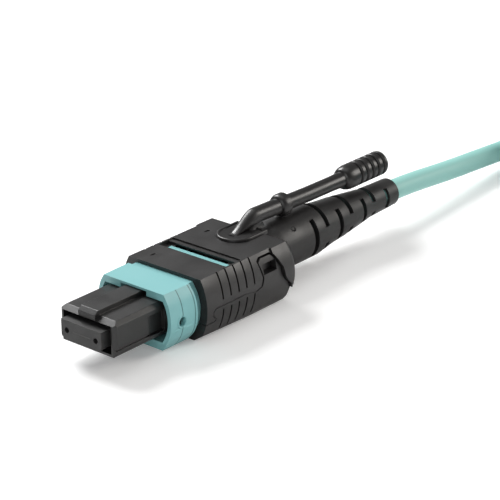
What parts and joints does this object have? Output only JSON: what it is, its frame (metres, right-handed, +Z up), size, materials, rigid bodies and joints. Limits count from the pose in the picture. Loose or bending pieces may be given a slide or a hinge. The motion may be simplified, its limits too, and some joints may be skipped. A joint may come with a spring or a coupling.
{
  "type": "mpo fibre connector",
  "caption": "Push-pull multi-fibre plug: black ferrule housing, aqua release sleeve, long pull rod, slotted boot and round aqua cable that is coiled and ends in the same plug.",
  "frame": {"origin": "centre of the ferrule's mating face", "axes": "+X rearwards along the plug to its cable, +Y to the plug's left seen from behind, +Z up, to the key side"},
  "size_m": [0.1425, 0.0379, 0.0112],
  "materials": {
    "ferrule_black": "moulded, polished end face",
    "housing_black": "satin moulded",
    "tab_black": "fine spark-eroded satin",
    "boot_black": "soft moulded, matte",
    "sleeve_aqua": "satin moulded",
    "cable_aqua": "extruded jacket, satin",
    "insert_rubber": "moulded",
    "fibre_glass": "coated glass fibre",
    "spring_steel": "drawn wire",
    "yarn_yellow": "loose yarn",
    "crimp_metal": "drawn tube"
  },
  "bodies": {
    "plug": {"ferrule_spring": "spring_steel", "inner_housing": "housing_black", "rear_body": "housing_black", "aramid_yarn": "yarn_yellow", "crimp_ring": "crimp_metal", "sleeve_spring_left": "spring_steel", "sleeve_spring_right": "spring_steel", "boot": "boot_black", "far_ferrule_spring": "spring_steel", "far_inner_housing": "housing_black", "far_rear_body": "housing_black", "far_aramid_yarn": "yarn_yellow", "far_crimp_ring": "crimp_metal", "far_sleeve_spring_left": "spring_steel", "far_sleeve_spring_right": "spring_steel", "far_boot": "boot_black", "cable_lead": "cable_aqua", "cable_coil": "cable_aqua", "cable_tail": "cable_aqua"},
    "ferrule": {"mt_ferrule": "ferrule_black", "ferrule_insert": "insert_rubber", "pin_keeper": "housing_black", "fibre_ribbon": "fibre_glass"},
    "coupling": {"coupling_sleeve": "sleeve_aqua", "tab_upper_shell": "tab_black", "tab_lower_shell": "tab_black", "pull_rod": "tab_black"},
    "far_ferrule": {"far_mt_ferrule": "ferrule_black", "far_ferrule_insert": "insert_rubber", "far_pin_keeper": "housing_black", "far_fibre_ribbon": "fibre_glass"},
    "far_coupling": {"far_coupling_sleeve": "sleeve_aqua", "far_tab_upper_shell": "tab_black", "far_tab_lower_shell": "tab_black", "far_pull_rod": "tab_black"}
  },
  "joints": [
    {"name": "release_slide", "type": "slide", "parent": "plug", "child": "coupling", "axis": [1, 0, 0], "range_m": [0, 0.0016], "stiffness_N_per_m": 1000, "springref_m": -0.0015, "deforming": ["sleeve_spring_left", "sleeve_spring_right"]},
    {"name": "ferrule_float", "type": "slide", "parent": "plug", "child": "ferrule", "axis": [1, 0, 0], "range_m": [0, 0.0005], "stiffness_N_per_m": 5000, "springref_m": -0.002, "deforming": ["ferrule_spring"]},
    {"name": "far_release_slide", "type": "slide", "parent": "plug", "child": "far_coupling", "axis": [1, 0, 0], "range_m": [0, 0.0016], "stiffness_N_per_m": 1000, "springref_m": -0.0015, "deforming": ["far_sleeve_spring_left", "far_sleeve_spring_right"]},
    {"name": "far_ferrule_float", "type": "slide", "parent": "plug", "child": "far_ferrule", "axis": [1, 0, 0], "range_m": [0, 0.0005], "stiffness_N_per_m": 5000, "springref_m": -0.002, "deforming": ["far_ferrule_spring"]}
  ]
}
